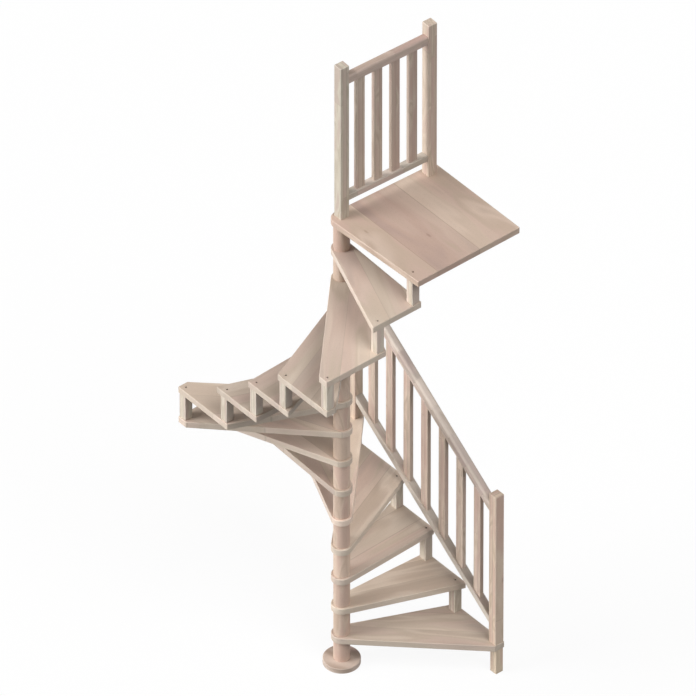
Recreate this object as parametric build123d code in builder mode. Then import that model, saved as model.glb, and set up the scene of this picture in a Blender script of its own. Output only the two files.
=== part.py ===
"""A square-plan wooden winder stair round a centre column.

Fourteen tapered treads are threaded on one column, with turned sleeves
between them and a square spacer block under each outer corner.
The last board is a landing.  A straight balustrade guards the first side of
the stair and a level one guards the open edge of the landing.

Millimetres.  The origin is on the column's axis at floor level, +Z is up.
The treads climb anticlockwise as seen from above.
"""
import os
from math import asin, atan2, cos, degrees, radians, sin

from build123d import *

os.makedirs("parts", exist_ok=True)

# ---------------------------------------------------------------- the climb
RISE = 200
TREAD_COUNT = 14
BOARD_THICKNESS = 38
STAIR_HALF_SIDE = 600
LANDING_HALF_SIDE = 650
FIRST_NOSING_ANGLE = 45
TREAD_ANGLE = 22.5
BOARD_EASE = 3
BOARD_CORNER_RADIUS = 5

LANDING_TOP = RISE * (TREAD_COUNT + 1)
LANDING_FRONT_ANGLE = 0
LANDING_RAIL_ANGLE = 90

# ------------------------------------------------------- the centre column
HUB_RADIUS = 56
SLEEVE_RADIUS = 44
SLEEVE_EASE = 1.5
FLANGE_RADIUS = 100
FLANGE_THICKNESS = 30
FLANGE_EASE = 4

# ---------------------------------------------- blocks under the outer edge
SPACER_WIDTH = 48
SPACER_INSET = 5
SPACER_COVER = 10
SPACER_EASE = 1.5
SPACER_HEIGHT = RISE - BOARD_THICKNESS
SPACER_RING = STAIR_HALF_SIDE - SPACER_INSET - SPACER_WIDTH / 2
BOLT_RECESS_RADIUS = 6
BOLT_RECESS_DEPTH = 9

# ------------------------------------------------------------ newel posts
POST_WIDTH = 56
POST_HEIGHT = 1000
POST_INSET = 3
POST_EASE = 2.5
POST_RING = STAIR_HALF_SIDE - POST_INSET - POST_WIDTH / 2
UPPER_NEWEL_TREAD = 5

# --------------------------------------------------------- rails and slats
# Rail heights are to the middle of the rail, straight up from the board.
HANDRAIL_DROP = 97
HANDRAIL_MIDDLE = POST_HEIGHT - HANDRAIL_DROP
HANDRAIL_WIDTH = 46
HANDRAIL_THICKNESS = 50
HANDRAIL_ROUND = 14
BOTTOM_RAIL_WIDTH = 46
BOTTOM_RAIL_THICKNESS = 36
STAIR_BOTTOM_RAIL_MIDDLE = 135
LANDING_BOTTOM_RAIL_MIDDLE = 121
RAIL_EASE = 3
SLAT_WIDTH = 53
SLAT_THICKNESS = 24
SLAT_EASE = 2
STAIR_SLATS = 7
LANDING_SLATS = 4

# Rows of posts on the landing: the inner post stands over the column.
LANDING_POST_START = 8
LANDING_POST_SPACING = 570
LANDING_POST_OFFSET = 10


def direction(angle):
    """Unit vector in plan at this angle."""
    return cos(radians(angle)), sin(radians(angle))


def reach(angle, half_side):
    """Distance from the axis to a square of this half side along a ray."""
    along_x, along_y = direction(angle)
    return half_side / max(abs(along_x), abs(along_y))


def ring_point(angle, half_side):
    """Point where a ray from the axis meets a square of this half side."""
    along_x, along_y = direction(angle)
    length = reach(angle, half_side)
    return length * along_x, length * along_y


def edge_lean(angle):
    """Angle between a board's long edge and the ray it follows.

    The edge leaves the round hub as a tangent and passes just outside the
    square spacer block, so it closes on the ray a little on the way out.
    """
    along_x, along_y = direction(angle)
    block = SPACER_WIDTH / 2 * (abs(along_x) + abs(along_y))
    closing = HUB_RADIUS - block - SPACER_COVER
    return degrees(asin(closing / reach(angle, SPACER_RING)))


def long_edge(angle, side, half_side):
    """Both ends of a board's long edge: on the hub and on the square.

    side is -1 for the nosing and +1 for the back edge.
    """
    heading = angle - side * edge_lean(angle)
    out_x, out_y = direction(heading + side * 90)
    along_x, along_y = direction(heading)
    start = (HUB_RADIUS * out_x, HUB_RADIUS * out_y)
    runs = []
    for place, step in zip(start, (along_x, along_y)):
        if abs(step) > 1e-9:
            wall = half_side if step > 0 else -half_side
            runs.append((wall - place) / step)
    run = min(runs)
    return start, (start[0] + run * along_x, start[1] + run * along_y)


def board_outline(front_angle, back_angle, half_side):
    """Corner points of a tapered board, anticlockwise from the hub."""
    hub_front, outer_front = long_edge(front_angle, -1, half_side)
    hub_back, outer_back = long_edge(back_angle, 1, half_side)
    turn_front = degrees(atan2(outer_front[1], outer_front[0]))
    turn_back = degrees(atan2(outer_back[1], outer_back[0]))
    sweep = (turn_back - turn_front) % 360
    points = [hub_front, outer_front]
    corners = []
    for corner_angle in (45, 135, 225, 315):
        passed = (corner_angle - turn_front) % 360
        if 0 < passed < sweep:
            corners.append((passed, ring_point(corner_angle, half_side)))
    for passed, corner in sorted(corners):
        points.append(corner)
    points.append(outer_back)
    points.append(hub_back)
    return points


def hub_far_point(front_angle, back_angle):
    """Point of the round hub on the side away from the board."""
    out_x, out_y = direction((front_angle + back_angle) / 2 + 180)
    return HUB_RADIUS * out_x, HUB_RADIUS * out_y


def outer_uprights(part):
    """Upright edges of a board away from its hub."""
    edges = part.edges().filter_by(Axis.Z)
    return edges.filter_by(lambda edge: edge.center().X ** 2 + edge.center().Y ** 2 > (3 * HUB_RADIUS) ** 2)


def nosing_angle(number):
    """Angle of a tread's nosing ray; number TREAD_COUNT + 1 is the landing."""
    return FIRST_NOSING_ANGLE + TREAD_ANGLE * (number - 1)


def save(name, part):
    """Label a finished piece and write its file."""
    part.label = name
    export_step(part, f"parts/{name}.step")


# ------------------------------------------------------------------ column
with BuildPart() as base_flange:
    Cylinder(FLANGE_RADIUS, FLANGE_THICKNESS, align=(Align.CENTER, Align.CENTER, Align.MIN))
    fillet(base_flange.faces().sort_by(Axis.Z)[-1].edges(), FLANGE_EASE)
save("base_flange", base_flange.part)

with BuildPart() as column_sleeves:
    for number in range(1, TREAD_COUNT + 2):
        sleeve_top = RISE * number - BOARD_THICKNESS
        sleeve_foot = FLANGE_THICKNESS if number == 1 else RISE * (number - 1)
        with BuildSketch(Plane.XY.offset(sleeve_foot)):
            Circle(SLEEVE_RADIUS)
        extrude(amount=sleeve_top - sleeve_foot)
    chamfer(column_sleeves.edges().filter_by(GeomType.CIRCLE), SLEEVE_EASE)
save("column_sleeves", column_sleeves.part)

# ------------------------------------------------------------------ treads
for number in range(1, TREAD_COUNT + 1):
    front_angle = nosing_angle(number)
    back_angle = nosing_angle(number + 1)
    tread_top = RISE * number
    outline = board_outline(front_angle, back_angle, STAIR_HALF_SIDE)
    with BuildPart() as tread:
        with BuildSketch(Plane.XY.offset(tread_top - BOARD_THICKNESS)):
            with BuildLine():
                Polyline(*outline)
                ThreePointArc(outline[-1], hub_far_point(front_angle, back_angle), outline[0])
            make_face()
        extrude(amount=BOARD_THICKNESS)
        fillet(outer_uprights(tread), BOARD_CORNER_RADIUS)
        fillet(tread.faces().sort_by(Axis.Z)[-1].edges(), BOARD_EASE)
        fillet(tread.faces().sort_by(Axis.Z)[0].edges(), BOARD_EASE)
        # The newel posts hide the bolts of the treads they stand on.
        if number not in (1, UPPER_NEWEL_TREAD):
            with Locations(Plane.XY.offset(tread_top)):
                with Locations(ring_point(front_angle, SPACER_RING)):
                    Hole(BOLT_RECESS_RADIUS, BOLT_RECESS_DEPTH)
    save(f"tread_{number:02d}", tread.part)

landing_outline = board_outline(LANDING_FRONT_ANGLE, LANDING_RAIL_ANGLE, LANDING_HALF_SIDE)
with BuildPart() as landing:
    with BuildSketch(Plane.XY.offset(LANDING_TOP - BOARD_THICKNESS)):
        with BuildLine():
            Polyline(*landing_outline)
            landing_hub_far = hub_far_point(LANDING_FRONT_ANGLE, LANDING_RAIL_ANGLE)
            ThreePointArc(landing_outline[-1], landing_hub_far, landing_outline[0])
        make_face()
    extrude(amount=BOARD_THICKNESS)
    fillet(outer_uprights(landing), BOARD_CORNER_RADIUS)
    fillet(landing.faces().sort_by(Axis.Z)[-1].edges(), BOARD_EASE)
    fillet(landing.faces().sort_by(Axis.Z)[0].edges(), BOARD_EASE)
    with Locations(Plane.XY.offset(LANDING_TOP)):
        with Locations(ring_point(LANDING_FRONT_ANGLE, SPACER_RING)):
            Hole(BOLT_RECESS_RADIUS, BOLT_RECESS_DEPTH)
save("landing", landing.part)

# ------------------------------------------- blocks between the outer edges
with BuildPart() as start_leg:
    with BuildSketch(Plane.XY):
        with Locations(ring_point(FIRST_NOSING_ANGLE, SPACER_RING)):
            Rectangle(SPACER_WIDTH, SPACER_WIDTH)
    extrude(amount=SPACER_HEIGHT)
    chamfer(start_leg.edges().filter_by(Axis.Z), SPACER_EASE)
save("start_leg", start_leg.part)

for number in range(1, TREAD_COUNT + 1):
    with BuildPart() as spacer:
        with BuildSketch(Plane.XY.offset(RISE * number)):
            with Locations(ring_point(nosing_angle(number + 1), SPACER_RING)):
                Rectangle(SPACER_WIDTH, SPACER_WIDTH)
        extrude(amount=SPACER_HEIGHT)
        chamfer(spacer.edges().filter_by(Axis.Z), SPACER_EASE)
    save(f"tread_spacer_{number:02d}", spacer.part)

# ------------------------------------- sloped balustrade on the first side
# Seen square on: X runs along the side, the rails fall towards +X.
SIDE_PLANE = Plane.XZ.offset(-POST_RING)
SLOPE_HALF_RUN = POST_RING - POST_WIDTH / 2
SLOPE_LOW = RISE
SLOPE_HIGH = RISE * UPPER_NEWEL_TREAD
SLOPE_ANGLE = degrees(atan2(SLOPE_HIGH - SLOPE_LOW, 2 * SLOPE_HALF_RUN))
HANDRAIL_HALF_DEPTH = HANDRAIL_THICKNESS / 2 / cos(radians(SLOPE_ANGLE))
BOTTOM_RAIL_HALF_DEPTH = BOTTOM_RAIL_THICKNESS / 2 / cos(radians(SLOPE_ANGLE))
STAIR_SLAT_TOP = HANDRAIL_MIDDLE - HANDRAIL_HALF_DEPTH
STAIR_SLAT_FOOT = STAIR_BOTTOM_RAIL_MIDDLE + BOTTOM_RAIL_HALF_DEPTH


def slope_height(along):
    """Height of the line joining the two newel feet at this place."""
    share = (SLOPE_HALF_RUN - along) / (2 * SLOPE_HALF_RUN)
    return SLOPE_LOW + share * (SLOPE_HIGH - SLOPE_LOW)


def slope_strip(left, right, under, over):
    """Four corners of an upright strip between two lines along the slope."""
    return [
        (left, slope_height(left) + under),
        (right, slope_height(right) + under),
        (right, slope_height(right) + over),
        (left, slope_height(left) + over),
    ]


def long_edges(part, upper):
    """The two long edges on the upper or the lower side of a rail."""
    longest = part.edges().sort_by(SortBy.LENGTH)[-4:].sort_by(Axis.Z)
    return longest[2:] if upper else longest[:2]


def sloped_outline(middle, half_depth):
    """Outline of a rail between the newel posts, upright cuts at its ends."""
    return slope_strip(-SLOPE_HALF_RUN, SLOPE_HALF_RUN, middle - half_depth, middle + half_depth)


for number, name in ((1, "lower_newel"), (UPPER_NEWEL_TREAD, "upper_newel")):
    with BuildPart() as newel:
        with BuildSketch(Plane.XY.offset(RISE * number)):
            with Locations(ring_point(nosing_angle(number), POST_RING)):
                Rectangle(POST_WIDTH, POST_WIDTH)
        extrude(amount=POST_HEIGHT)
        chamfer(newel.edges().filter_by(Axis.Z), POST_EASE)
        chamfer(newel.faces().sort_by(Axis.Z)[-1].edges(), POST_EASE)
    save(name, newel.part)

with BuildPart() as stair_handrail:
    with BuildSketch(SIDE_PLANE):
        with BuildLine():
            Polyline(*sloped_outline(HANDRAIL_MIDDLE, HANDRAIL_HALF_DEPTH), close=True)
        make_face()
    extrude(amount=HANDRAIL_WIDTH / 2, both=True)
    fillet(long_edges(stair_handrail, upper=True), HANDRAIL_ROUND)
    fillet(long_edges(stair_handrail, upper=False), RAIL_EASE)
save("stair_handrail", stair_handrail.part)

with BuildPart() as stair_bottom_rail:
    with BuildSketch(SIDE_PLANE):
        with BuildLine():
            Polyline(*sloped_outline(STAIR_BOTTOM_RAIL_MIDDLE, BOTTOM_RAIL_HALF_DEPTH), close=True)
        make_face()
    extrude(amount=BOTTOM_RAIL_WIDTH / 2, both=True)
    fillet(long_edges(stair_bottom_rail, upper=True), RAIL_EASE)
    fillet(long_edges(stair_bottom_rail, upper=False), RAIL_EASE)
save("stair_bottom_rail", stair_bottom_rail.part)

STAIR_SLAT_GAP = (2 * SLOPE_HALF_RUN - STAIR_SLATS * SLAT_WIDTH) / (STAIR_SLATS + 1)
with BuildPart() as stair_balusters:
    for number in range(STAIR_SLATS):
        slat_left = -SLOPE_HALF_RUN + STAIR_SLAT_GAP + number * (SLAT_WIDTH + STAIR_SLAT_GAP)
        with BuildSketch(SIDE_PLANE):
            with BuildLine():
                slat = slope_strip(slat_left, slat_left + SLAT_WIDTH, STAIR_SLAT_FOOT, STAIR_SLAT_TOP)
                Polyline(*slat, close=True)
            make_face()
        extrude(amount=SLAT_THICKNESS / 2, both=True)
    fillet(stair_balusters.edges().filter_by(Axis.Z), SLAT_EASE)
save("stair_balusters", stair_balusters.part)

# ------------------------------------------- level balustrade on the landing
# It follows the landing's open edge, which leans a little off the square.
RAIL_HEADING = LANDING_RAIL_ANGLE - edge_lean(LANDING_RAIL_ANGLE)
heading_x, heading_y = direction(RAIL_HEADING)
LANDING_ROW_START = (
    LANDING_POST_START * heading_x - LANDING_POST_OFFSET * heading_y,
    LANDING_POST_START * heading_y + LANDING_POST_OFFSET * heading_x,
    LANDING_TOP,
)
LANDING_ROW = Plane(origin=LANDING_ROW_START, x_dir=(heading_x, heading_y, 0), z_dir=(0, 0, 1))
RAIL_START = POST_WIDTH / 2
RAIL_END = LANDING_POST_SPACING - POST_WIDTH / 2
RAIL_LENGTH = RAIL_END - RAIL_START

for place, name in ((0, "landing_post_inner"), (LANDING_POST_SPACING, "landing_post_outer")):
    with BuildPart() as post:
        with BuildSketch(LANDING_ROW):
            with Locations((place, 0)):
                Rectangle(POST_WIDTH, POST_WIDTH)
        extrude(amount=POST_HEIGHT)
        chamfer(post.edges().filter_by(Axis.Z), POST_EASE)
        chamfer(post.faces().sort_by(Axis.Z)[-1].edges(), POST_EASE)
    save(name, post.part)

with BuildPart() as landing_handrail:
    with BuildSketch(LANDING_ROW.offset(HANDRAIL_MIDDLE)):
        with Locations((RAIL_START + RAIL_LENGTH / 2, 0)):
            Rectangle(RAIL_LENGTH, HANDRAIL_WIDTH)
    extrude(amount=HANDRAIL_THICKNESS / 2, both=True)
    fillet(long_edges(landing_handrail, upper=True), HANDRAIL_ROUND)
    fillet(long_edges(landing_handrail, upper=False), RAIL_EASE)
save("landing_handrail", landing_handrail.part)

with BuildPart() as landing_bottom_rail:
    with BuildSketch(LANDING_ROW.offset(LANDING_BOTTOM_RAIL_MIDDLE)):
        with Locations((RAIL_START + RAIL_LENGTH / 2, 0)):
            Rectangle(RAIL_LENGTH, BOTTOM_RAIL_WIDTH)
    extrude(amount=BOTTOM_RAIL_THICKNESS / 2, both=True)
    fillet(long_edges(landing_bottom_rail, upper=True), RAIL_EASE)
    fillet(long_edges(landing_bottom_rail, upper=False), RAIL_EASE)
save("landing_bottom_rail", landing_bottom_rail.part)

LANDING_SLAT_FOOT = LANDING_BOTTOM_RAIL_MIDDLE + BOTTOM_RAIL_THICKNESS / 2
LANDING_SLAT_TOP = HANDRAIL_MIDDLE - HANDRAIL_THICKNESS / 2
LANDING_SLAT_GAP = (RAIL_LENGTH - LANDING_SLATS * SLAT_WIDTH) / (LANDING_SLATS + 1)
with BuildPart() as landing_balusters:
    with BuildSketch(LANDING_ROW.offset(LANDING_SLAT_FOOT)):
        for number in range(LANDING_SLATS):
            slat_start = RAIL_START + LANDING_SLAT_GAP + number * (SLAT_WIDTH + LANDING_SLAT_GAP)
            with Locations((slat_start + SLAT_WIDTH / 2, 0)):
                Rectangle(SLAT_WIDTH, SLAT_THICKNESS)
    extrude(amount=LANDING_SLAT_TOP - LANDING_SLAT_FOOT)
    fillet(landing_balusters.edges().filter_by(Axis.Z), SLAT_EASE)
save("landing_balusters", landing_balusters.part)
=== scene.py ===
# %% [markdown]
# # A square winder stair in pale laminated hardwood
#
# The stair climbs fourteen wedge-shaped treads round one turned column and
# ends in a square landing. Every wooden part already exists as a measured
# solid. This lesson dresses those solids: it lights them, gives each its own
# laminated wood, and adds the small steel bolts that the solids leave out.

# %% [markdown]
# ## Step 1: load the frame
#
# The frame is the measured model. Each part is one Blender object that sits at the origin with its place in
# its mesh, in metres, so nothing here is fitted by eye.

# %% Load the measured solids
import math

import bmesh
import bpy
import numpy as np
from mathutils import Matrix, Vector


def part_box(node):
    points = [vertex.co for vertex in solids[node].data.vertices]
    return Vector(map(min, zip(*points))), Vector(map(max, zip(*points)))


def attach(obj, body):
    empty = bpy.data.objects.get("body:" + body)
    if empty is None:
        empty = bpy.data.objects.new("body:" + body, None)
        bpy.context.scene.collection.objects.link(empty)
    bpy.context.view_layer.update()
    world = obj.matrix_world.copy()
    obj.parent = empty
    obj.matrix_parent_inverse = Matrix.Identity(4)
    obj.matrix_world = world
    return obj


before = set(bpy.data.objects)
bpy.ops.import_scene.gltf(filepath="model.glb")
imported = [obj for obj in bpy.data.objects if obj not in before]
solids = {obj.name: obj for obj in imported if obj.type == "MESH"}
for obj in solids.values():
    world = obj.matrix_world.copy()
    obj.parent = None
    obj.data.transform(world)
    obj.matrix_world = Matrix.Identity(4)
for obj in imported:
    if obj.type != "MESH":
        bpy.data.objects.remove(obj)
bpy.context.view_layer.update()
print("parts:", len(solids))

# %% [markdown]
# ## Step 2: the camera
#
# A stair like this is usually shown from well above, with upright posts that
# stay parallel. A real lens does that when it stands very far away and is very
# long, so this camera is about 160 metres off with a 1650 mm lens. An orthographic
# camera would look the same here, but it is less handy when the view is moved.

# %% Place a very long lens
VIEW_TURN = math.radians(50.12)
VIEW_RISE = math.radians(39.94)
VIEW_WIDTH = 3.588
LENS = 1650
SENSOR = 36
AIM = np.array([0.0193, 0.0264, 2.1216])

towards_camera = np.array([
    math.sin(VIEW_TURN) * math.cos(VIEW_RISE),
    -math.cos(VIEW_TURN) * math.cos(VIEW_RISE),
    math.sin(VIEW_RISE),
])
distance = VIEW_WIDTH * LENS / SENSOR
camera_data = bpy.data.cameras.new("long_lens")
camera_data.lens = LENS
camera_data.sensor_width = SENSOR
camera_data.clip_start = 1
camera_data.clip_end = 800
camera = bpy.data.objects.new("long_lens", camera_data)
bpy.context.scene.collection.objects.link(camera)
camera.location = AIM + distance * towards_camera
camera.rotation_euler = (math.pi / 2 - VIEW_RISE, 0, VIEW_TURN)
bpy.context.scene.camera = camera
print("camera distance, metres:", round(distance, 1))

# %% [markdown]
# ## Step 3: small helpers for shader nodes
#
# A shader is a graph of nodes. Written out call by call it is long, so a few
# helpers shorten it. The first two make a node and fill its sockets, either
# with a plain value or with a link from another node. The others are the nodes
# that come up again and again: a small calculation, a fade, a noise, a throw of
# dice and a blend of two colours. The last one starts an empty material.

# %% Helpers that build a node graph
def fill_socket(tree, socket, value):
    """Fill one socket, with a link if the value is another node's output, or else with the value."""
    if isinstance(value, bpy.types.NodeSocket):
        tree.links.new(value, socket)
    else:
        socket.default_value = value


def make_node(tree, kind, sockets=None, **settings):
    """Add one node; sockets maps a socket's name or number to what fills it."""
    node = tree.nodes.new(kind)
    for name, value in settings.items():
        setattr(node, name, value)
    for key, value in (sockets or {}).items():
        fill_socket(tree, node.inputs[key], value)
    return node


def calc(tree, operation, first, second=0.0, third=0.0):
    """One number worked out from up to three others."""
    sockets = {0: first, 1: second, 2: third}
    return make_node(tree, "ShaderNodeMath", sockets, operation=operation).outputs[0]


def fade(tree, value, start, end, way="SMOOTHSTEP"):
    """0 on the far side of start, 1 on the far side of end, and a fade between; start may be larger."""
    sockets = {0: value, 1: start, 2: end}
    return make_node(tree, "ShaderNodeMapRange", sockets, interpolation_type=way).outputs[0]


def noise(tree, place, scale=1.0, detail=2.0, roughness=0.5, distortion=0.0):
    """A number from 0 to 1 that changes smoothly from place to place, 0.5 on average."""
    return make_node(tree, "ShaderNodeTexNoise", {
        "Vector": place, "Scale": scale, "Detail": detail, "Roughness": roughness, "Distortion": distortion,
    }).outputs[0]


def throw_dice(tree, *key):
    """A random number and a random colour that are always the same for the same three numbers."""
    key_vector = make_node(tree, "ShaderNodeCombineXYZ", dict(enumerate(key))).outputs[0]
    return make_node(tree, "ShaderNodeTexWhiteNoise", {"Vector": key_vector}, noise_dimensions="3D").outputs


def blend_colour(tree, share, under, over, way="MIX"):
    """Lay one colour over another; share is how much of the second one shows."""
    node = make_node(tree, "ShaderNodeMix", data_type="RGBA", blend_type=way)
    # The node also has an A and a B for numbers and for vectors; only those for colours are enabled.
    in_use = {socket.name: socket for socket in node.inputs if socket.enabled}
    for name, value in (("Factor", share), ("A", under), ("B", over)):
        fill_socket(tree, in_use[name], value)
    return [socket for socket in node.outputs if socket.enabled][0]


def empty_material(name):
    """A material whose node graph is still empty."""
    material = bpy.data.materials.new(name)
    material.use_nodes = True
    material.node_tree.nodes.clear()
    return material


print("helpers:", [helper.__name__ for helper in (calc, fade, noise, throw_dice, blend_colour)])

# %% [markdown]
# ## Step 4: the pattern of a laminated board
#
# The boards are glued up from planks of beech. Each plank comes from another
# tree, so its tint differs a little from its neighbour's, and inside a plank
# pinkish heartwood, cream sapwood and a greenish beige run beside each other
# in long flames. Posts and slats are glued up in the same way from narrow
# strips, and the rails also from short lengths with finger joints.
#
# Such a board could be painted as a picture, but then its edges would need a
# second picture that lines up with the first. A solid pattern is better: it is
# worked out for each point inside the board, so planks run through from the
# top to the edge and the underside, as they do in real wood.
#
# The pattern takes a place whose first number runs along the grain and whose
# second runs across the planks. Rounding the second number down gives the row,
# and rounding the first down gives the plank in that row. A white noise node
# turns those whole numbers into a random throw that is always the same, and
# the throw moves the flames, so they stop at every joint. Another throw says
# along which edge of the plank, and how far in, its pale sapwood lies.

# %% Measures of the pattern
# How often each kind of mark comes in a metre: along the grain, across it and through the board.
FLAME_PER_METRE = (1.6, 7.0, 7.0)
STREAK_PER_METRE = (2.2, 60.0, 60.0)
FIBRE_PER_METRE = (14.0, 420.0, 420.0)
FLECK_PER_METRE = (110.0, 700.0, 700.0)
KNOT_PER_METRE = (2.6, 7.0, 7.0)

# Farthest that one plank lies from the next in the tree, in metres.
OTHER_TREE = (9.0, 3.0, 3.0)

# Third number of a throw, which keeps the throws of rows and of joints apart.
ROW_THROW = 0.37
JOINT_THROW = 0.81

# All that lies below the lowest row counts as this place in it, so that row has no lower joint.
PLACE_IN_LOWEST = 0.3

# Figure of a plank: its contrast, how far two planks can differ, and where the darkest one starts.
FLAME_CONTRAST = 1.4
FLAME_DRIFT = 0.32
FLAME_START = -0.36
RINGS = 70.0

# Sapwood: how far its border waves and how soft it is, in plank widths.
SAPWOOD_WAVE = 1.6
SAPWOOD_SOFT = 0.05

# Where in its noise a fleck starts and is full, and how near to a cell's middle a knot does.
FLECK_START, FLECK_FULL = 0.63, 0.70
KNOT_START, KNOT_FULL = 0.070, 0.020
CELLS_WITHOUT_KNOT = 0.55

# Glue joints and finger joints, in metres, and how clear the faintest joint is.
JOINT_START, JOINT_FULL = 0.0026, 0.0006
JOINT_FAINTEST = 0.4
FINGER_HALF_PITCH = 0.0035

PATTERN_INPUTS = (
    "Plank width", "Plank length", "Scatter", "Seed", "Lowest row", "Flame size", "Finger depth",
)
PATTERN_OUTPUTS = ("Figure", "Level", "Sapwood", "Ring", "Streak", "Fibre", "Fleck", "Knot", "Joint")
print("finest fibre, millimetres:", round(1000 / FIBRE_PER_METRE[1], 1))

# %% Find the plank that a point lies in
def stretched(group, place, per_metre):
    """A place multiplied axis by axis, so that what follows is drawn out along the grain."""
    sockets = {0: place, 1: per_metre}
    return make_node(group, "ShaderNodeVectorMath", sockets, operation="MULTIPLY").outputs[0]


def find_plank(group, entry):
    """Place across in plank widths, how far into its row and plank it lies, and the plank's throws.

    The row is the whole part of across / width. The plank is the whole part of
    (along + zigzag) / length + a throw of the row, so the ends don't line up.
    """
    along, across, through = make_node(group, "ShaderNodeSeparateXYZ", {0: entry["Place"]}).outputs
    rows = calc(group, "DIVIDE", across, entry["Plank width"])
    rows = calc(group, "MAXIMUM", rows, calc(group, "ADD", entry["Lowest row"], PLACE_IN_LOWEST))
    row = calc(group, "FLOOR", rows)
    row_dice = throw_dice(group, row, entry["Seed"], ROW_THROW)

    # A finger joint makes the end of a plank a zigzag through the board.
    zigzag = calc(group, "PINGPONG", through, FINGER_HALF_PITCH)
    zigzag = calc(group, "MULTIPLY", zigzag, entry["Finger depth"])
    run = calc(group, "DIVIDE", calc(group, "ADD", along, zigzag), entry["Plank length"])
    planks = calc(group, "ADD", run, calc(group, "MULTIPLY", row_dice[0], entry["Scatter"]))
    dice = throw_dice(group, row, calc(group, "FLOOR", planks), entry["Seed"])
    return rows, calc(group, "FRACT", rows), calc(group, "FRACT", planks), dice


def glue_joints(group, entry, rows, into_row, into_plank):
    """1 on a joint: fades with the distance to the row's side or the plank's end, the nearer one."""
    side = calc(group, "MULTIPLY", calc(group, "PINGPONG", into_row, 0.5), entry["Plank width"])
    end = calc(group, "MULTIPLY", calc(group, "PINGPONG", into_plank, 0.5), entry["Plank length"])
    line = fade(group, calc(group, "MINIMUM", side, end), JOINT_START, JOINT_FULL)
    throw = throw_dice(group, calc(group, "ROUND", rows), entry["Seed"], JOINT_THROW)[0]
    clear = calc(group, "MULTIPLY_ADD", throw, 1 - JOINT_FAINTEST, JOINT_FAINTEST)
    return calc(group, "MULTIPLY", line, clear)


def sapwood_band(group, throw, into_row, slow):
    """1 in a pale band along one edge of the plank.

    The throw, spread over -1 to 1, says which edge by its sign and how wide the
    band is by its size: half of it, in plank widths. The slow noise waves the border.
    """
    reach = calc(group, "MULTIPLY_ADD", throw, 2.0, -1.0)
    edge = calc(group, "SUBTRACT", 1.0, calc(group, "GREATER_THAN", reach, 0.0))
    from_edge = calc(group, "ABSOLUTE", calc(group, "SUBTRACT", edge, into_row))
    band = calc(group, "MULTIPLY", calc(group, "ABSOLUTE", reach), 0.5)
    wave = calc(group, "MULTIPLY_ADD", slow, SAPWOOD_WAVE, -SAPWOOD_WAVE / 2)
    beyond = calc(group, "ADD", wave, calc(group, "SUBTRACT", from_edge, band))
    return fade(group, beyond, SAPWOOD_SOFT, -SAPWOOD_SOFT)


def knots(group, place):
    """1 in the middle of a few large cells of a Voronoi pattern."""
    cells = make_node(group, "ShaderNodeTexVoronoi", {
        "Vector": stretched(group, place, KNOT_PER_METRE), "Scale": 1.0,
    }).outputs
    near = fade(group, cells[0], KNOT_START, KNOT_FULL)
    throw = make_node(group, "ShaderNodeSeparateColor", {0: cells[1]}).outputs[0]
    return calc(group, "MULTIPLY", near, calc(group, "GREATER_THAN", throw, CELLS_WITHOUT_KNOT))


print("joint, millimetres wide:", round(2000 * JOINT_START, 1))

# %% Build the plank pattern as a node group
def build_plank_pattern():
    """Node group: from a place along, across and through the wood to its figure and its grain."""
    group = bpy.data.node_groups.new("plank_pattern", "ShaderNodeTree")
    group.interface.new_socket(name="Place", in_out="INPUT", socket_type="NodeSocketVector")
    for name in PATTERN_INPUTS:
        group.interface.new_socket(name=name, in_out="INPUT", socket_type="NodeSocketFloat")
    for name in PATTERN_OUTPUTS:
        group.interface.new_socket(name=name, in_out="OUTPUT", socket_type="NodeSocketFloat")
    entry = group.nodes.new("NodeGroupInput").outputs
    rows, into_row, into_plank, dice = find_plank(group, entry)
    throws = make_node(group, "ShaderNodeSeparateColor", {0: dice[1]}).outputs

    # Every plank is cut from another place in another tree.
    far_away = stretched(group, dice[1], OTHER_TREE)
    moved = make_node(group, "ShaderNodeVectorMath", {
        0: entry["Place"], 1: far_away,
    }, operation="ADD").outputs[0]

    # Flames: a slow noise drawn out along the grain, shifted up or down plank by plank.
    slow_place = stretched(group, moved, FLAME_PER_METRE)
    slow = noise(group, slow_place, entry["Flame size"], roughness=0.40, distortion=0.5)
    drift = calc(group, "MULTIPLY_ADD", throws[0], FLAME_DRIFT, FLAME_START)
    figure = calc(group, "MULTIPLY_ADD", slow, FLAME_CONTRAST, drift)
    sapwood = sapwood_band(group, throws[2], into_row, slow)

    # Growth rings: stripes laid along the contours of the same noise.
    ring = calc(group, "SINE", calc(group, "MULTIPLY", slow, RINGS))
    ring = calc(group, "MULTIPLY_ADD", ring, 0.5, 0.5)

    # Streaks about a centimetre wide, fibres thirty times longer than wide, and short dark flecks.
    streak = noise(group, stretched(group, moved, STREAK_PER_METRE))
    fibre = noise(group, stretched(group, moved, FIBRE_PER_METRE), detail=3.0, roughness=0.6)
    speckle = noise(group, stretched(group, moved, FLECK_PER_METRE), detail=1.0)
    fleck = fade(group, speckle, FLECK_START, FLECK_FULL)

    knot = knots(group, moved)
    joint = glue_joints(group, entry, rows, into_row, into_plank)
    results = (figure, throws[1], sapwood, ring, streak, fibre, fleck, knot, joint)
    make_node(group, "NodeGroupOutput", dict(zip(PATTERN_OUTPUTS, results)))
    return group


plank_pattern = build_plank_pattern()
print("nodes in the plank pattern:", len(plank_pattern.nodes))
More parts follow.
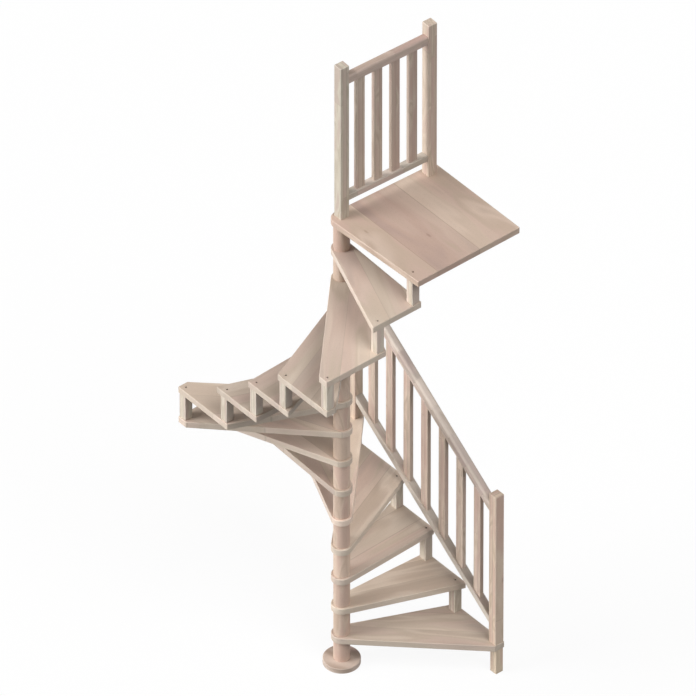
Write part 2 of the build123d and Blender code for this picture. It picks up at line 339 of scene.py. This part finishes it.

# %% [markdown]
# ## Step 5: from the pattern to a wood finish
#
# Pale bleached beech under a matt lacquer has low contrast. The flames take their tint from a short ramp of
# colours, and the rings and fibres darken it by a few parts in a hundred. The eased edges, where the
# lacquer is thin and hands and feet rub, are a little smoother, and they are painted a little lighter:
# partly wear, partly a painted highlight where the rounded edge catches the light. Upright sides may be
# painted paler too, as painted light, and the eased corners of posts get a painted highlight.
#
# The eased edges are found from the direction of the surface: a flat top or an
# upright side is square to the vertical axis or along it, and an eased edge is
# neither. The eased corners of a post stand upright, so they are told by the
# two level axes instead: their surface looks along neither of them alone.

# %% Tints of the wood
CREAM = (0.660, 0.560, 0.460, 1)
PINK = (0.555, 0.410, 0.345, 1)
MAUVE = (0.440, 0.330, 0.290, 1)
BEIGE = (0.525, 0.430, 0.335, 1)
ROSE = (0.590, 0.455, 0.385, 1)
TAN = (0.470, 0.375, 0.290, 1)
# Tint of the painted light on sides and corners, and of the painted highlight and wear on eased edges.
PAINTED_LIGHT_AND_WEAR_TINT = (0.760, 0.670, 0.565, 1)
CLOUD_BROWN = (0.520, 0.390, 0.310, 1)
FLAME_TINTS = ((0.26, MAUVE), (0.37, PINK), (0.46, ROSE), (0.53, BEIGE), (0.62, CREAM), (0.74, TAN))
PALE_TINTS = ((0.24, PINK), (0.36, ROSE), (0.46, CREAM), (0.54, BEIGE), (0.62, CREAM), (0.72, ROSE))

# How much of its tint each fine mark shows at most, and that tint.
MARKS = (
    ("Ring", 0.07, (0.430, 0.310, 0.235, 1)),
    ("Fibre", 0.13, (0.410, 0.310, 0.240, 1)),
    ("Fleck", 0.30, (0.300, 0.210, 0.150, 1)),
    ("Knot", 0.35, (0.220, 0.140, 0.090, 1)),
    ("Joint", 0.60, (0.330, 0.250, 0.190, 1)),
)
print("tints in a board:", len(FLAME_TINTS), "kinds of marks:", len(MARKS))

# %% Colour of the flames, and which way the surface looks
SAPWOOD_SHARE = 0.55
DARK_STREAK = 0.955
STREAK_SPREAD = 0.11

# Where each kind of surface starts and is full; 0 is square to an axis, 1 is along it.
SIDE_FADE = (0.6, 0.1)
CORNER_FADE = (0.20, 0.50)
EDGE_FADE = (0.03, 0.25)


def tint_ramp(tree, share, stops):
    """A ramp of colours; stops is a row of places from 0 to 1 and their colours."""
    node = make_node(tree, "ShaderNodeValToRGB", {0: share})
    ramp = node.color_ramp
    ramp.interpolation = "EASE"
    while len(ramp.elements) < len(stops):
        ramp.elements.new(0.5)
    for element, (position, tint) in zip(ramp.elements, stops):
        element.position = position
        element.color = tint
    return node.outputs[0]


def flame_colour(tree, pattern, stops, calm, uneven):
    """Tint of the flames and the sapwood, multiplied by the shade of the plank and its streaks."""
    middle = tuple(np.mean(np.array([tint for _, tint in stops]), axis=0))
    colour = blend_colour(tree, calm, tint_ramp(tree, pattern["Figure"], stops), middle)
    pale = calc(tree, "MULTIPLY", pattern["Sapwood"], SAPWOOD_SHARE * (1 - calm))
    colour = blend_colour(tree, pale, colour, CREAM)
    darkest = calc(tree, "MULTIPLY_ADD", pattern["Streak"], STREAK_SPREAD, DARK_STREAK - uneven / 2)
    shade = calc(tree, "MULTIPLY_ADD", pattern["Level"], uneven, darkest)
    grey = make_node(tree, "ShaderNodeCombineXYZ", {0: shade, 1: shade, 2: shade}).outputs[0]
    return blend_colour(tree, 1.0, colour, grey, "MULTIPLY")


def surface_kinds(tree):
    """How far the surface is an upright side, an upright eased corner and an eased edge, 0 to 1."""
    normal = make_node(tree, "ShaderNodeNewGeometry").outputs["Normal"]
    facing = make_node(tree, "ShaderNodeVectorMath", {0: normal}, operation="ABSOLUTE").outputs[0]
    right, back, upward = make_node(tree, "ShaderNodeSeparateXYZ", {0: facing}).outputs
    side = fade(tree, upward, *SIDE_FADE, way="LINEAR")
    corner = fade(tree, calc(tree, "MINIMUM", right, back), *CORNER_FADE, way="LINEAR")
    edge = fade(tree, calc(tree, "PINGPONG", upward, 0.5), *EDGE_FADE, way="LINEAR")
    return side, corner, edge


print("shade of an average plank:", DARK_STREAK, "to", round(DARK_STREAK + STREAK_SPREAD, 3))

# %% The recipe of one finish
CLOUDS_PER_METRE = 3.5
CLOUD_SHARE = 0.16
# Least and most of the painted highlight and wear on the eased edges, in patches.
WEAR_AND_HIGHLIGHT_LEAST = 0.10
WEAR_AND_HIGHLIGHT_PATCHES = 0.50
LACQUER_ROUGH = 0.44
FIBRE_ROUGH = 0.20
RUBBED_SMOOTH = 0.12
RING_RELIEF = 0.25
JOINT_RELIEF = 1.2
RELIEF_HEIGHT = 0.0004


def matt_lacquer(tree, colour, pattern, wear_and_highlight):
    """Rougher on the fibres, smoother on the worn eased edges; rings and fibres stand up, joints sink in.
    """
    rough = calc(tree, "MULTIPLY_ADD", pattern["Fibre"], FIBRE_ROUGH, LACQUER_ROUGH)
    rough = calc(tree, "SUBTRACT", rough, calc(tree, "MULTIPLY", wear_and_highlight, RUBBED_SMOOTH))
    relief = calc(tree, "MULTIPLY_ADD", pattern["Ring"], RING_RELIEF, pattern["Fibre"])
    relief = calc(tree, "SUBTRACT", relief, calc(tree, "MULTIPLY", pattern["Joint"], JOINT_RELIEF))
    bump = make_node(tree, "ShaderNodeBump", {
        "Strength": 0.35, "Distance": RELIEF_HEIGHT, "Height": relief,
    }).outputs[0]
    return make_node(tree, "ShaderNodeBsdfPrincipled", {
        "Base Color": colour, "Roughness": rough, "Normal": bump, "Specular IOR Level": 0.35,
    }).outputs[0]


def laminated_wood(name, turn, shift=(0, 0, 0), width=0.042, length=0.6, scatter=7.0, seed=1.0,
                   lowest=-1000.0, flame=1.0, finger=0.0, stops=FLAME_TINTS, tone=(1, 1, 1), calm=0.05,
                   painted_side_light=0.10, painted_corner_highlight=0.0, uneven=0.22):
    """A wood finish; turn and shift lay the pattern along the part, tone multiplies its colour.

    calm is how far every plank is drawn towards the middle tint, flame how small its flames are, the side
    light how much paler its upright sides are painted, as painted light, the corner light the same for the
    eased corners of a post, as a painted highlight, and uneven how far one plank may be darker than
    another.
    """
    material = empty_material(name)
    tree = material.node_tree
    here = make_node(tree, "ShaderNodeTexCoord").outputs["Object"]
    laid = make_node(tree, "ShaderNodeMapping", {
        "Vector": here, "Rotation": tuple(math.radians(a) for a in turn), "Location": shift,
    }).outputs[0]
    pattern = make_node(tree, "ShaderNodeGroup", {
        "Place": laid, "Plank width": width, "Plank length": length, "Scatter": scatter,
        "Seed": float(seed), "Lowest row": lowest, "Flame size": flame, "Finger depth": finger,
    }, node_tree=plank_pattern).outputs

    # Flames, then a slow cloud of colour and the fine marks, each of them faint.
    colour = flame_colour(tree, pattern, stops, calm, uneven)
    cloud = noise(tree, laid, CLOUDS_PER_METRE)
    colour = blend_colour(tree, calc(tree, "MULTIPLY", cloud, CLOUD_SHARE), colour, CLOUD_BROWN)
    for mark, most, tint in MARKS:
        colour = blend_colour(tree, calc(tree, "MULTIPLY", pattern[mark], most), colour, tint)

    # Painted light: upright sides are painted paler, the eased corners of posts get a painted highlight,
    # and the eased edges a painted highlight that is partly wear.
    side, corner, edge = surface_kinds(tree)
    patches = calc(tree, "MULTIPLY_ADD", cloud, WEAR_AND_HIGHLIGHT_PATCHES, WEAR_AND_HIGHLIGHT_LEAST)
    wear_and_highlight = calc(tree, "MULTIPLY", edge, patches)
    painted_side_share = calc(tree, "MULTIPLY", side, painted_side_light)
    painted_corner_share = calc(tree, "MULTIPLY", corner, painted_corner_highlight)
    for share in (painted_side_share, wear_and_highlight, painted_corner_share):
        colour = blend_colour(tree, share, colour, PAINTED_LIGHT_AND_WEAR_TINT)
    colour = blend_colour(tree, 1.0, colour, (*tone, 1), "MULTIPLY")
    make_node(tree, "ShaderNodeOutputMaterial", {0: matt_lacquer(tree, colour, pattern, wear_and_highlight)})
    return material


def dress(part, material):
    """Give a measured solid its finish; its mesh isn't touched."""
    target = solids[part]
    if not target.material_slots:
        target.data.materials.append(material)
    for slot in target.material_slots:
        slot.material = material


print("cloud, centimetres across:", round(100 / CLOUDS_PER_METRE))

# %% [markdown]
# ## Step 6: the treads and the landing
#
# On the real treads the planks run beside the nosing, the edge that a foot
# meets first, so each tread has its own direction. The nosing of a tread
# leaves the round hub as a tangent and closes a little on the ray that it
# follows. The same small formula gives that lean here, and a Mapping node
# turns the pattern to it.
#
# Every plank runs the whole length of its board. So the planks get a length far over that of a board, and
# no throw moves them along: no end joint shows. The table holds two numbers for each board, from the bottom
# up: the seed of its throws, and how light the board is made. That lightness is partly the tint of its tree
# and partly painted light: several boards low in the stair, which the lamps leave in deeper shade, are made
# lighter.

# %% Lay the planks along each nosing
TREADS = 14
FIRST_NOSING = 45.0
TREAD_TURN = 22.5
HUB_RADIUS = 0.056
BLOCK_RING = 0.571
BLOCK_HALF = 0.024
BLOCK_COVER = 0.010
NOSING_PLANK = 0.035
TREAD_PLANK = 0.140
LANDING_PLANK = 0.280
NEXT_CUT = 0.37
# Seed and lightness of each board; the lightness is partly the tint of its tree and partly painted light.
TREAD_BOARDS = (
    (1251, 1.06), (852, 1.24), (653, 1.06), (154, 1.08), (455, 1.34), (1206, 1.02), (107, 1.22),
    (708, 1.21), (309, 1.09), (160, 0.97), (1311, 1.03), (1212, 0.95), (713, 1.15), (514, 1.08),
)
WHOLE = {"length": 9.0, "scatter": 0.0, "flame": 0.8}


def nosing_ray(number):
    """Direction, in degrees, of the ray from the column that a tread's front edge follows."""
    return FIRST_NOSING + TREAD_TURN * (number - 1)


def nosing_heading(ray):
    """Direction of the front edge: the ray, turned by the angle at which the edge closes on it."""
    cosine, sine = abs(math.cos(math.radians(ray))), abs(math.sin(math.radians(ray)))
    closing = HUB_RADIUS - BLOCK_HALF * (cosine + sine) - BLOCK_COVER
    ring = BLOCK_RING / max(cosine, sine)
    return ray + math.degrees(math.asin(closing / ring))


def along_board(heading):
    """Turn of the pattern for a level board: along the heading, rows side by side in plan."""
    return (0, 0, -heading)


# Each board's lightness is partly painted light, and its upright sides are painted paler, also painted
# light.
for number, (seed, shade) in enumerate(TREAD_BOARDS, start=1):
    finish = laminated_wood(
        f"board_wood_{number:02d}", along_board(nosing_heading(nosing_ray(number))),
        shift=(1.0 + NEXT_CUT * number, HUB_RADIUS + NOSING_PLANK, 0), seed=seed, width=TREAD_PLANK,
        tone=(shade, 1.02 * shade, 1.03 * shade), calm=0.40, painted_side_light=0.26, **WHOLE,
    )
    dress(f"tread_{number:02d}", finish)
dress("landing", laminated_wood(
    "board_wood_landing", along_board(0), shift=(1.0, 0.180, 0), seed=621, width=LANDING_PLANK,
    lowest=0, painted_side_light=0.0, tone=(0.98, 0.935, 0.925), calm=0.30, uneven=0.12, **WHOLE,
))
print("headings of the first two treads:", [round(nosing_heading(nosing_ray(n)), 2) for n in (1, 2)])

# %% [markdown]
# ## Step 7: column, blocks, posts, slats and rails
#
# These parts are narrow. Their strips stand upright, or run along the rail, and
# on a post two or three of them lie side by side. Only the turn of the pattern
# changes: an upright part swaps height for length. The landing's balustrade
# stands two degrees out of square, and its posts, slats and rails turn with it.

# %% Turn the pattern upright or along a rail
RISE = 0.200
RAIL_RISES = 4
RAIL_RUN = 1.082


def along_upright(heading):
    """Turn for an upright part: the grain runs up, rows lie side by side along the heading."""
    return (90, heading, 90)


def along_level_rail(heading):
    """Turn for a level rail: the grain runs along the heading, rows lie one above the other."""
    return (90, heading, 0)


def along_falling_rail(fall):
    """Turn for a rail that falls towards +X: rows lie one above the other, square to the slope."""
    return (90, 0, -fall)


LANDING_HEADING = 90.0 - (nosing_heading(90.0) - 90.0)
STAIR_FALL = math.degrees(math.atan2(RAIL_RISES * RISE, RAIL_RUN))
UPRIGHT = along_upright(0)
UPRIGHT_LANDING = along_upright(LANDING_HEADING)
LEVEL = along_level_rail(LANDING_HEADING)
FALLING = along_falling_rail(STAIR_FALL)
print("fall of the stair rails, degrees:", round(STAIR_FALL, 1))

# %% [markdown]
# The column is a pile of turned sleeves, one for each rise, so its pattern
# starts anew at every sleeve. Its foot is a single board.

# %% Dress the column and its foot
dress("column_sleeves", laminated_wood(
    "column_wood", UPRIGHT, shift=(0, 0.1, 0), width=0.200, length=RISE, scatter=0.0, seed=831,
    tone=(1.13, 1.07, 1.05), calm=0.35, flame=1.6, stops=PALE_TINTS, painted_side_light=0.0,
))
dress("base_flange", laminated_wood(
    "column_wood_flange", along_board(20), shift=(1.1, 0.20, 0), width=0.400, seed=1332,
    tone=(0.95, 0.92, 0.95), **WHOLE,
))
print("column:", solids["column_sleeves"].material_slots[0].name)

# %% [markdown]
# Blocks, posts and slats are planed from narrow strips of paler wood. Their eased corners catch the light
# in thin pale lines, so here those lines are painted in, a painted highlight.

# %% Dress the blocks, the posts and the slats
# The corner light of the strips is a painted highlight on the eased corners of posts.
STRIP = {"flame": 1.6, "stops": PALE_TINTS, "painted_side_light": 0.0, "painted_corner_highlight": 0.8}
BLOCK_STRIP = 0.024
POST_STRIP = 0.022
SLAT_STRIP = 0.027

block_wood = laminated_wood(
    "block_wood", UPRIGHT, shift=(0, 0.011, 0), width=BLOCK_STRIP, length=RISE, scatter=0.0, seed=1283,
    tone=(1.10, 1.18, 1.21), **STRIP,
)
for number in range(1, TREADS + 1):
    dress(f"tread_spacer_{number:02d}", block_wood)
dress("start_leg", laminated_wood(
    "leg_wood", UPRIGHT, shift=(0, 0.02, 0), width=BLOCK_STRIP, length=0.9, seed=141,
    tone=(1.12, 1.10, 1.02), **STRIP,
))
post_wood = laminated_wood(
    "post_wood", UPRIGHT, shift=(0.3, 0, 0), width=POST_STRIP, length=1.9, seed=734,
    tone=(1.06, 1.02, 0.99), **STRIP,
)
dress("lower_newel", post_wood)
dress("upper_newel", post_wood)
for part, seed, tone in (("inner", 385, (0.91, 0.98, 0.99)), ("outer", 142, (1.00, 0.99, 0.99))):
    dress(f"landing_post_{part}", laminated_wood(
        f"post_wood_{part}", UPRIGHT_LANDING, shift=(0.3, 0.004, 0), width=POST_STRIP, length=1.9,
        seed=seed, tone=tone, **STRIP,
    ))
dress("stair_balusters", laminated_wood(
    "baluster_wood", UPRIGHT, shift=(0.2, 0, 0), width=SLAT_STRIP, length=1.7, seed=886,
    tone=(1.13, 1.11, 1.12), **STRIP,
))
dress("landing_balusters", laminated_wood(
    "baluster_wood_landing", UPRIGHT_LANDING, shift=(0.2, 0, 0), width=SLAT_STRIP, length=1.7,
    seed=1387, tone=(0.93, 0.92, 0.93), **STRIP,
))
print("strips, millimetres wide:", [round(1000 * w) for w in (BLOCK_STRIP, POST_STRIP, SLAT_STRIP)])

# %% [markdown]
# The rails are glued up from short staves with finger joints, which differ more from one another than the
# planks do. Each rail also has its own tone. On the stair's bottom rail and the landing's handrail, a low
# tone with much paler sides is painted shade: it makes their tops darker than their sides.

# %% Dress the rails
STAVE = {"flame": 1.4, "finger": 4.0, "uneven": 0.45}

dress("stair_handrail", laminated_wood(
    "rail_wood_hand", FALLING, width=0.050, length=0.17, seed=1388,
    tone=(0.99, 1.00, 1.06), **STAVE,
))
# Painted shade: a low tone with much paler sides darkens the top of this rail.
dress("stair_bottom_rail", laminated_wood(
    "rail_wood_bottom", FALLING, shift=(0.1, 0.01, 0), width=0.036, length=0.34, seed=789,
    tone=(0.90, 0.92, 0.96), painted_side_light=0.85, **STAVE,
))
# Painted shade: a low tone with much paler sides darkens the top of this rail.
dress("landing_handrail", laminated_wood(
    "rail_wood_landing", LEVEL, shift=(0.1, 0, 0), width=0.050, length=0.25, seed=40,
    tone=(0.79, 0.73, 0.75), painted_side_light=0.60, **STAVE,
))
dress("landing_bottom_rail", laminated_wood(
    "rail_wood_landing_bottom", LEVEL, shift=(0.1, 0, 0), width=0.050, length=0.30, seed=1393,
    tone=(0.91, 0.98, 1.04), **STAVE,
))
undressed = [name for name, solid in solids.items() if not solid.material_slots]
print("measured solids without a finish:", undressed)

# %% [markdown]
# ## Step 8: the bolts in the treads
#
# A bolt goes down through the outer corner of most treads into the block below.
# Its head lies in a round recess. A plain cylinder would do from far away, but
# a real head has a rounded rim and a six-sided socket.
#
# The head is one profile carried round a circle. Three rings of the profile, at
# the mouth and the floor of the socket, are hexagons, so their radius changes
# with the angle. The whole surface is one grid of points. Its first and last
# rows have no radius, so their points fall together; welding them leaves a
# closed skin without doubled points.

# %% Make the bolt heads on one grid
BOLT_RADIUS = 0.0052
BOLT_HEIGHT = 0.0055
RIM_ROUND = 0.0009
SOCKET_ACROSS = 0.0050
SOCKET_CHAMFER = 0.00025
SOCKET_WALL = 0.0030
SOCKET_DEEPEST = 0.0034
RECESS_DEPTH = 0.009
ROUND_STEPS = 48
RIM_STEPS = 6
WELD = 0.000001


def hexagon_radius(angle, across_flats):
    """Distance from the middle of a hexagon to its side: across_flats / 2 / cos(angle from the side)."""
    folded = np.mod(angle, math.pi / 3) - math.pi / 6
    return across_flats / 2 / np.cos(folded)


def bolt_head():
    """Points of one head: (radius cos a, radius sin a, height) for each row of the profile.

    The rows go from the middle of the foot, over a quarter-round rim and a
    chamfer, down the six-sided wall of the socket to the middle of its floor.
    """
    angle = np.linspace(0, 2 * math.pi, ROUND_STEPS, endpoint=False)
    ones = np.ones_like(angle)
    socket = hexagon_radius(angle, SOCKET_ACROSS)
    rows = [(0.0 * ones, 0.0), (BOLT_RADIUS * ones, 0.0)]
    for lean in np.linspace(0, math.pi / 2, RIM_STEPS):
        out, up = RIM_ROUND * math.cos(lean), RIM_ROUND * math.sin(lean)
        rows.append(((BOLT_RADIUS - RIM_ROUND + out) * ones, BOLT_HEIGHT - RIM_ROUND + up))
    rows.append((socket + SOCKET_CHAMFER, BOLT_HEIGHT))
    rows.append((socket, BOLT_HEIGHT - SOCKET_CHAMFER))
    rows.append((socket, BOLT_HEIGHT - SOCKET_WALL))
    rows.append((0.0 * ones, BOLT_HEIGHT - SOCKET_DEEPEST))
    radius = np.array([row[0] for row in rows])
    height = np.array([row[1] for row in rows])[:, None] * ones
    return np.stack([radius * np.cos(angle), radius * np.sin(angle), height], axis=-1)


one_head = bolt_head()
print("rows and steps of one head:", one_head.shape[:2])

# %% Put a head into every recess
TREADS_UNDER_A_POST = (1, 5)


def square_ring(ray):
    """Point where a ray from the column meets the square ring of the blocks."""
    along = np.array([math.cos(math.radians(ray)), math.sin(math.radians(ray))])
    return along * BLOCK_RING / np.abs(along).max()


def closed_grid(name, grids):
    """One mesh from several grids of points; each grid closes round its second direction.

    Quad (row, step) joins points (row, step), (row, step + 1), (row + 1, step + 1)
    and (row + 1, step), where the step after the last one is the first.
    """
    rows, steps = grids[0].shape[:2]
    below, beside = np.meshgrid(np.arange(rows - 1) * steps, np.arange(steps), indexing="ij")
    after = (beside + 1) % steps
    corners = (below + beside, below + after, below + steps + after, below + steps + beside)
    quads = np.stack(corners, axis=-1).reshape(-1, 4)
    faces = np.concatenate([quads + n * rows * steps for n in range(len(grids))])
    points = np.concatenate([grid.reshape(-1, 3) for grid in grids])
    mesh = bpy.data.meshes.new(name)
    mesh.from_pydata(points.tolist(), [], faces.tolist())
    welder = bmesh.new()
    welder.from_mesh(mesh)
    bmesh.ops.remove_doubles(welder, verts=welder.verts, dist=WELD)
    bmesh.ops.recalc_face_normals(welder, faces=welder.faces)
    welder.to_mesh(mesh)
    welder.free()
    piece = bpy.data.objects.new(name, mesh)
    bpy.context.scene.collection.objects.link(piece)
    return piece


bolt_places = []
for number in range(1, TREADS + 1):
    if number not in TREADS_UNDER_A_POST:
        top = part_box(f"tread_{number:02d}")[1].z
        bolt_places.append((*square_ring(nosing_ray(number)), top - RECESS_DEPTH))
bolt_places.append((*square_ring(0.0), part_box("landing")[1].z - RECESS_DEPTH))
tread_bolts = closed_grid("tread_bolts", [one_head + np.array(place) for place in bolt_places])
print("bolts:", len(bolt_places), "faces:", len(tread_bolts.data.polygons))

# %% [markdown]
# The heads are blackened steel. Black steel isn't flat black: the oxide is uneven, and here and there it is
# rubbed paler.

# %% Finish the bolts
OXIDE = (0.035, 0.030, 0.027, 1)
STEEL = (0.075, 0.062, 0.052, 1)
KEY_RUBBED = (0.160, 0.135, 0.110, 1)
STEEL_TINTS = ((0.2, OXIDE), (0.5, STEEL), (0.8, KEY_RUBBED))
STAINS_PER_METRE = 900.0
STEEL_ROUGH = 0.30
STAIN_ROUGH = 0.35
STAIN_HEIGHT = 0.0001


def blackened_steel():
    """Dark metal whose tint, roughness and relief all follow one fine noise."""
    material = empty_material("blackened_steel")
    tree = material.node_tree
    here = make_node(tree, "ShaderNodeTexCoord").outputs["Object"]
    stain = noise(tree, here, STAINS_PER_METRE, detail=4.0)
    rough = calc(tree, "MULTIPLY_ADD", stain, STAIN_ROUGH, STEEL_ROUGH)
    bump = make_node(tree, "ShaderNodeBump", {
        "Strength": 0.3, "Distance": STAIN_HEIGHT, "Height": stain,
    }).outputs[0]
    metal = make_node(tree, "ShaderNodeBsdfPrincipled", {
        "Base Color": tint_ramp(tree, stain, STEEL_TINTS), "Roughness": rough, "Normal": bump,
        "Metallic": 0.85,
    })
    make_node(tree, "ShaderNodeOutputMaterial", {0: metal.outputs[0]})
    return material


tread_bolts.data.materials.append(blackened_steel())
tread_bolts.data.shade_smooth()
tread_bolts.data.set_sharp_from_angle(angle=math.radians(35))
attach(tread_bolts, "root")
print("bolt finish:", tread_bolts.data.materials[0].name)

# %% [markdown]
# ## Step 9: floor, sky and lamps
#
# The stair stands on a pale studio floor. Six soft lamps stand far off, each
# for one range of directions. Two low ones, on the left and in front, make the
# faces on that side the brightest and reach in between the treads. Two high
# ones, in front and on the right, light the tops. The last two open the shade
# on the right and behind. The wider a lamp, the softer the edge of its shadow.
#
# A white background would need a very bright floor, which would also light the
# undersides of the treads. So the floor and the sky are white only to rays
# from the camera, and to reflections; for everything else they are grey. A
# share of the real floor still shows, so it keeps the shadow of the stair.

# %% Lay the floor
FLOOR_HALF = 60.0
FLOOR_UNDER = 0.0005
FLOOR_GREY = 0.22
PAPER_WHITE = 0.95
FLOOR_SHADOW_SHARE = 0.08


def seen_directly(tree):
    """1 for rays from the camera, in a mirror or through glass, 0 for light that falls on things."""
    rays = make_node(tree, "ShaderNodeLightPath").outputs
    both = calc(tree, "MAXIMUM", rays["Is Camera Ray"], rays["Is Glossy Ray"])
    return calc(tree, "MAXIMUM", both, rays["Is Transmission Ray"])


def matt_grey(tree, level):
    """A plain matt surface, the same in all three channels."""
    return make_node(tree, "ShaderNodeBsdfDiffuse", {0: (level, level, level, 1)}).outputs[0]


def floor_material():
    """White with a little shadow to the eye, grey to the light that bounces off it."""
    material = empty_material("studio_floor")
    tree = material.node_tree
    white = make_node(tree, "ShaderNodeEmission", {0: (1, 1, 1, 1), 1: 1.0}).outputs[0]
    paper = matt_grey(tree, PAPER_WHITE)
    shown = make_node(tree, "ShaderNodeMixShader", {0: FLOOR_SHADOW_SHARE, 1: white, 2: paper}).outputs[0]
    grey = matt_grey(tree, FLOOR_GREY)
    both = make_node(tree, "ShaderNodeMixShader", {0: seen_directly(tree), 1: grey, 2: shown}).outputs[0]
    make_node(tree, "ShaderNodeOutputMaterial", {0: both})
    return material


floor_mesh = bpy.data.meshes.new("floor")
floor_signs = ((-1, -1), (1, -1), (1, 1), (-1, 1))
floor_points = [(x * FLOOR_HALF, y * FLOOR_HALF, -FLOOR_UNDER) for x, y in floor_signs]
floor_mesh.from_pydata(floor_points, [], [(0, 1, 2, 3)])
floor = bpy.data.objects.new("floor", floor_mesh)
bpy.context.scene.collection.objects.link(floor)
floor_mesh.materials.append(floor_material())
print("floor, metres wide:", 2 * FLOOR_HALF)

# %% Hang the lamps
# Name, turn, rise, strength and spread of each; turn, rise and spread in degrees.
LAMPS = (
    ("soft_low_left", 200, 12, 0.65, 50),
    ("soft_low_front", 244, 12, 3.00, 40),
    ("soft_high_front", 244, 55, 0.90, 20),
    ("soft_high_right", 0, 55, 1.45, 30),
    ("soft_mid_right", 340, 30, 0.34, 40),
    ("soft_back", 90, 30, 0.20, 60),
)


def hang_lamp(name, turn, rise, strength, spread):
    """A lamp at infinity: turn is where it stands, measured from +X, rise is its height."""
    data = bpy.data.lights.new(name, "SUN")
    data.energy = strength
    data.angle = math.radians(spread)
    lamp = bpy.data.objects.new(name, data)
    bpy.context.scene.collection.objects.link(lamp)
    lamp.rotation_euler = (math.pi / 2 - math.radians(rise), 0, math.radians(turn) + math.pi / 2)


for lamp_row in LAMPS:
    hang_lamp(*lamp_row)

# %% Fill the sky
SKY_GLOW = 0.05

world = bpy.data.worlds.new("studio_sky")
bpy.context.scene.world = world
world.use_nodes = True
sky = world.node_tree
sky.nodes.clear()
fill = make_node(sky, "ShaderNodeBackground", {0: (1, 1, 1, 1), 1: SKY_GLOW}).outputs[0]
white_sky = make_node(sky, "ShaderNodeBackground", {0: (1, 1, 1, 1), 1: 1.0}).outputs[0]
either = make_node(sky, "ShaderNodeMixShader", {0: seen_directly(sky), 1: fill, 2: white_sky}).outputs[0]
make_node(sky, "ShaderNodeOutputWorld", {0: either})
bpy.context.scene.view_settings.view_transform = "Standard"
print("sky:", world.name, "glow:", SKY_GLOW)
